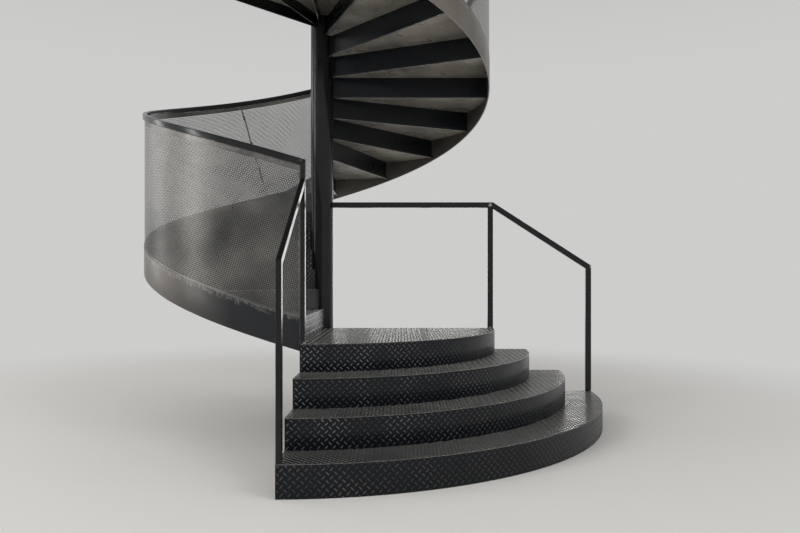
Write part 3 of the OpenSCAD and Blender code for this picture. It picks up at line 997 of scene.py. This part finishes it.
class STAIR_OT_flight_risers(bpy.types.Operator):
    """Roll the curved risers of the wide steps, a little behind the edges of their treads"""

    bl_idname = "stair.flight_risers"
    bl_label = "Curved risers"

    def execute(self, context):
        plate = waxed_blackened_checker_plate()
        for name, outer in zip(FLIGHT, RING_R):
            lo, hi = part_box(f"{name}_riser")
            face = outer - context.scene.stair_sizes.set_back
            section = eased_section(outer - RISER_T, face, lo.z, hi.z, 0.0006, flight_ends)
            add_piece(f"{name}_rolled_riser", level_arc(section), plate,
                      (f"{name}_riser",))
        return {"FINISHED"}


class STAIR_OT_flight_treads(bpy.types.Operator):
    """Cut the treads of the wide steps, with rounded rims rubbed bare and painted as a highlight"""

    bl_idname = "stair.flight_treads"
    bl_label = "Wide treads"

    def execute(self, context):
        plate, bare = waxed_blackened_checker_plate(), rubbed_edge_with_painted_highlight()
        inner = [r - TREAD_LAP for r in RING_R[1:]] + [COLUMN_R + SEAT]
        for name, r_in, r_out in zip(FLIGHT, inner, RING_R):
            lo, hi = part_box(f"{name}_tread")
            section = eased_section(r_in, r_out, lo.z, hi.z, 0.0015, flight_ends)
            points, faces = level_arc(section)
            # of the faces around the section, the fourth and fifth are the rim's upper rounding
            around = len(section)
            sides = np.arange(len(faces) - (around // 2 - 1) * 2)
            rim = sides[np.isin(sides % around, (3, 4))]
            add_piece(f"{name}_cut_tread", (points, faces), plate,
                      (f"{name}_tread",), rim=(bare, rim))
        return {"FINISHED"}


class STAIR_OT_lozenges_flight(bpy.types.Operator):
    """Roll the lozenges on the wide steps and the landing"""

    bl_idname = "stair.lozenges_flight"
    bl_label = "Lozenges of the bottom flight"

    def execute(self, context):
        x_min = END_X + FLIGHT_INSET
        inner = [r + SEAT for r in RING_R[1:]] + [COLUMN_R + 0.004]
        walked, upright = [], []
        for i, (r_in, r_out) in enumerate(zip(inner, RING_R)):
            z = STEP_RISE * (i + 1)
            walked.append(lozenge_field(
                ((0, -r_out), (r_out, 0)), into_ring(r_in, r_out - RIM_CLEAR, x_min, -FLIGHT_INSET),
                on_plan(z), walked=True))
            face = r_out - context.scene.stair_sizes.set_back
            start = face * (math.pi / 2 + math.asin(FLIGHT_INSET / face))
            end = face * (math.pi - math.asin(x_min / face))
            box = (start, z - STEP_RISE + FOOT_CLEAR), (end, z - TREAD_T - TOP_CLEAR)
            upright.append(lozenge_field(box, into_box(*box), on_cylinder(face)))
        add_lozenges("flight", walked, upright)
        return {"FINISHED"}


class STAIR_OT_lozenges_winders(bpy.types.Operator):
    """Roll the lozenges on the winders and the platform"""

    bl_idname = "stair.lozenges_winders"
    bl_label = "Lozenges of the winders"

    def execute(self, context):
        r_in = COLUMN_R + RIM_CLEAR
        walked, upright = [], []
        for k in range(FIRST_WINDER, TOP_RISER + 1):
            azimuth, z = winder_place(k)
            if k == TOP_RISER:
                region = (-0.01, -BAND_R), (BAND_R, END_X)
                keep_in = into_sector(r_in, BAND_R, END_X, END_TH - TOP_TH, 0.0)
            else:
                region = (0, -0.6), (WINDER_R, END_X)
                keep_in = into_sector(r_in, WINDER_R, END_X, TURN, END_X + 0.0005)
            walked.append(lozenge_field(region, keep_in, on_plan(z, azimuth), walked=True))
            foot = z - WINDER_RISE if k > FIRST_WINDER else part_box("winder_05")[0].z
            start, end = (math.sqrt(r ** 2 - END_X ** 2) for r in (r_in, WINDER_R))
            box = (start, foot + FOOT_CLEAR), (end, z - TREAD_T - TOP_CLEAR)
            upright.append(lozenge_field(box, into_box(*box), on_riser(azimuth)))
        add_lozenges("winder", walked, upright)
        return {"FINISHED"}


class STAIR_OT_lip_edges(bpy.types.Operator):
    """Rub bare the sheared edges of the winders' lips, with a painted highlight along them"""

    bl_idname = "stair.lip_edges"
    bl_label = "Lip edges"

    def execute(self, context):
        edges = []
        inset = 0.0006
        for k in range(FIRST_WINDER, TOP_RISER):
            azimuth, z = winder_place(k)
            e, f = radial(azimuth + TURN), downstairs(azimuth + TURN)
            up = (0, 0, z - LIP_H + inset)
            for side in (inset, RISER_T - inset):
                path = straight(e * (COLUMN_R + 0.004) + f * side + up,
                                e * (WINDER_R - 0.004) + f * side + up, 0.05)
                edges.append(tube_along(path, 0.0021, 0.2, seed=k))
        bare = rubbed_edge_with_painted_highlight()
        add_piece("winder_lip_edges", join(edges), bare, sharp=180)
        return {"FINISHED"}


class STAIR_OT_welds(bpy.types.Operator):
    """Lay the weld beads at the column, the stringer and the posts"""

    bl_idname = "stair.welds"
    bl_label = "Welds"

    def execute(self, context):
        radius = context.scene.stair_sizes.weld
        beads = []
        for k in range(FIRST_WINDER, TOP_RISER):
            azimuth, z = winder_place(k)
            foot, under = (0, 0, z - WINDER_RISE + 0.003), (0, 0, z - TREAD_T)
            back = downstairs(azimuth) * (END_X - RISER_T)
            runs = []
            for r in (COLUMN_R, WINDER_R):
                at = radial(azimuth) * math.sqrt(r ** 2 - END_X ** 2) + back
                runs.append(straight(at + foot, at + under))
            # four short runs under the outer edge, in degrees about the column
            starts = [azimuth + 1.5 + part * 5.6 for part in range(4)]
            arcs = [(WINDER_R, start, start + 2.4, 20) for start in starts]
            arcs.append((COLUMN_R + 0.001, azimuth - 10, azimuth + TURN, 16))
            for r, start, end, count in arcs:
                runs.append([radial(a) * r + under for a in np.linspace(start, end, count)])
            for seed, path in zip((k, k + 40, k + 80, k + 81, k + 82, k + 83, k + 160), runs):
                beads.append(tube_along(path, radius, 0.25, seed))
        x, low = END_X - 0.001, nose_z(FIRST) + BAND_LOW
        upright = straight((x, -BAND_R, low + 0.006), (x, -BAND_R, low + BAND_H - 0.002))
        beads.append(tube_along(upright, radius * 1.35, 0.5, seed=3))
        for node in ("start_post", "left_post", "right_post", "landing_post"):
            lo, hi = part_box(node)
            foot = [(lo.x, lo.y, lo.z), (hi.x, lo.y, lo.z), (hi.x, hi.y, lo.z), (lo.x, hi.y, lo.z)]
            beads.append(tube_along(loop_path(foot), radius * 0.7, 0.3, seed=5))
        add_piece("weld_beads", join(beads), brushed_weld_bead(), sharp=180)
        return {"FINISHED"}


class STAIR_OT_anchors(bpy.types.Operator):
    """Set the floor anchors in the base flange"""

    bl_idname = "stair.anchors"
    bl_label = "Floor anchors"

    def execute(self, context):
        bolt = context.scene.stair_sizes.bolt
        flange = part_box("column_base")[1].z
        bm = bmesh.new()
        for angle in (45, 135, 225, 315):
            a = math.radians(angle)
            at = Vector((ANCHOR_R * math.cos(a), ANCHOR_R * math.sin(a), flange))
            # washer, nut and the end of the bolt: share of the bolt, lowest, highest, sides
            for share, low, high, sides in (
                (0.94, 0.0, 0.003, 32), (0.87, 0.003, 0.016, 6), (0.48, 0.016, 0.026, 24),
            ):
                made = bmesh.ops.create_cone(
                    bm, cap_ends=True, segments=sides, radius1=bolt * share, radius2=bolt * share,
                    depth=high - low)
                middle = at + Vector((0, 0, (low + high) / 2))
                bmesh.ops.translate(bm, verts=made["verts"], vec=middle)
        bmesh.ops.bevel(bm, geom=list(bm.edges), offset=0.0006, segments=2, affect="EDGES",
                        clamp_overlap=True)
        bm.verts.index_update()
        points = [tuple(v.co) for v in bm.verts]
        faces = [[v.index for v in f.verts] for f in bm.faces]
        bm.free()
        add_piece("floor_anchors", (points, faces), zinc_plated_steel())
        return {"FINISHED"}


# name, place, aim, width, height, watts, whether it lights matt surfaces and is seen in gloss
LAMPS = (
    ("key", (-9.0, -9.0, 5.2), (0, 0, 1.2), 6.4, 6.4, 1150, True, False),
    ("fill", (9.9, -7.2, 6.3), (0, 0, 1.2), 5.4, 5.4, 380, True, False),
    ("low fill", (5.8, -8.3, 1.3), (0.4, 0, 2.8), 3.6, 1.8, 220, True, False),
    ("left front softbox", (-10.5, -3.3, 3.4), (0, -0.6, 1.9), 0.9, 5.6, 190, True, True),
    ("left back softbox", (-9.8, 2.9, 3.4), (-0.6, 0, 1.9), 0.9, 5.6, 90, True, True),
    ("back softbox 1", (-4.2, 10.0, 2.9), (-0.6, 0, 2.0), 0.6, 5.4, 30, False, True),
    ("back softbox 2", (-1.2, 10.0, 2.9), (0, 0, 2.0), 1.2, 5.4, 32, False, True),
    ("back softbox 3", (0.55, 10.0, 2.9), (0, 0, 2.0), 1.2, 5.4, 32, False, True),
    ("back softbox 4", (1.9, 10.0, 2.9), (0, 0, 2.0), 1.2, 5.4, 40, False, True),
    ("back softbox 5", (4.7, 10.0, 2.9), (0.6, 0, 2.0), 0.6, 5.4, 30, False, True),
)
CAMERA_PLACE = (0.6523, -5.5753, 1.0948)
SENSOR = 36
PICTURE_WIDTH = 800
# in pixels of the picture: focal length, and the horizon's distance below the middle
FOCAL_LENGTH = 666.43
HORIZON_DROP = 14.32


class STAIR_OT_stage(bpy.types.Operator):
    """Set the studio floor, light and camera"""

    bl_idname = "stair.stage"
    bl_label = "Studio"

    def execute(self, context):
        c = context.scene.stair_colours
        scene = context.scene
        scene.view_settings.view_transform = "Standard"

        bm = bmesh.new()
        bmesh.ops.create_circle(bm, cap_ends=True, segments=96, radius=150)
        mesh = bpy.data.meshes.new("studio_floor")
        bm.to_mesh(mesh)
        bm.free()
        mesh.materials.append(matt_painted_studio_floor())
        add_object("studio_floor", mesh)

        scene.world = bpy.data.worlds.new("studio")
        scene.world.use_nodes = True
        scene.world.node_tree.nodes.clear()
        add = functools.partial(add_node, scene.world.node_tree)
        # pale about the horizon, darker overhead; matt surfaces are lit evenly from all round
        up = add("SeparateXYZ", (add("TexCoord").outputs["Generated"],)).outputs["Z"]
        rise = add("MapRange", (up, 0.25, 0.85), interpolation_type="SMOOTHSTEP")
        sky = add("Mix", {0: rise, 6: c.backdrop, 7: c.backdrop_top}, data_type="RGBA")
        lit = add("Background", {"Color": (1, 1, 1, 1), "Strength": 0.58})
        both = add("MixShader", (seen_itself(add), lit, add("Background", {"Color": sky})))
        add("OutputWorld", {"Surface": both})

        for name, place, aim, wide, tall, power, matt, glossy in LAMPS:
            light = bpy.data.lights.new(name, "AREA")
            light.shape = "RECTANGLE"
            light.size = wide
            light.size_y = tall
            light.energy = power
            lamp = add_object(name, light)
            lamp.location = place
            lamp.rotation_mode = "QUATERNION"
            lamp.rotation_quaternion = (Vector(aim) - Vector(place)).to_track_quat("-Z", "Y")
            lamp.visible_camera = False
            lamp.visible_diffuse = matt
            lamp.visible_glossy = glossy

        lens = bpy.data.cameras.new("view")
        lens.sensor_width = SENSOR
        lens.lens = SENSOR * FOCAL_LENGTH / PICTURE_WIDTH
        lens.shift_y = HORIZON_DROP / PICTURE_WIDTH
        camera = add_object("view", lens)
        camera.location = CAMERA_PLACE
        camera.rotation_euler = (math.radians(90), 0, 0)
        scene.camera = camera
        return {"FINISHED"}


STEPS = (
    STAIR_OT_stage,
    STAIR_OT_column,
    STAIR_OT_plates,
    STAIR_OT_guards,
    STAIR_OT_bands,
    STAIR_OT_band_edges,
    STAIR_OT_top_rails,
    STAIR_OT_sheets,
    STAIR_OT_flight_risers,
    STAIR_OT_flight_treads,
    STAIR_OT_lozenges_flight,
    STAIR_OT_lozenges_winders,
    STAIR_OT_lip_edges,
    STAIR_OT_welds,
    STAIR_OT_anchors,
)


class STAIR_PT_panel(bpy.types.Panel):
    """Steps that dress the stair"""

    bl_idname = "STAIR_PT_panel"
    bl_label = "Spiral stair"
    bl_space_type = "VIEW_3D"
    bl_region_type = "UI"
    bl_category = "Stair"

    def draw(self, context):
        for step in STEPS:
            self.layout.operator(step.bl_idname)
        for group in (context.scene.stair_sizes, context.scene.stair_colours):
            box = self.layout.box()
            for key in group.__annotations__:
                box.prop(group, key)


CLASSES = (StairSizes, StairColours, *STEPS, STAIR_PT_panel)


def register():
    for cls in CLASSES:
        bpy.utils.register_class(cls)
    bpy.types.Scene.stair_sizes = PointerProperty(type=StairSizes)
    bpy.types.Scene.stair_colours = PointerProperty(type=StairColours)


def unregister():
    del bpy.types.Scene.stair_colours
    del bpy.types.Scene.stair_sizes
    for cls in reversed(CLASSES):
        bpy.utils.unregister_class(cls)


def main():
    register()
    for step in STEPS:
        getattr(bpy.ops.stair, step.bl_idname.split(".")[1])()


if __name__ == "__main__":
    main()
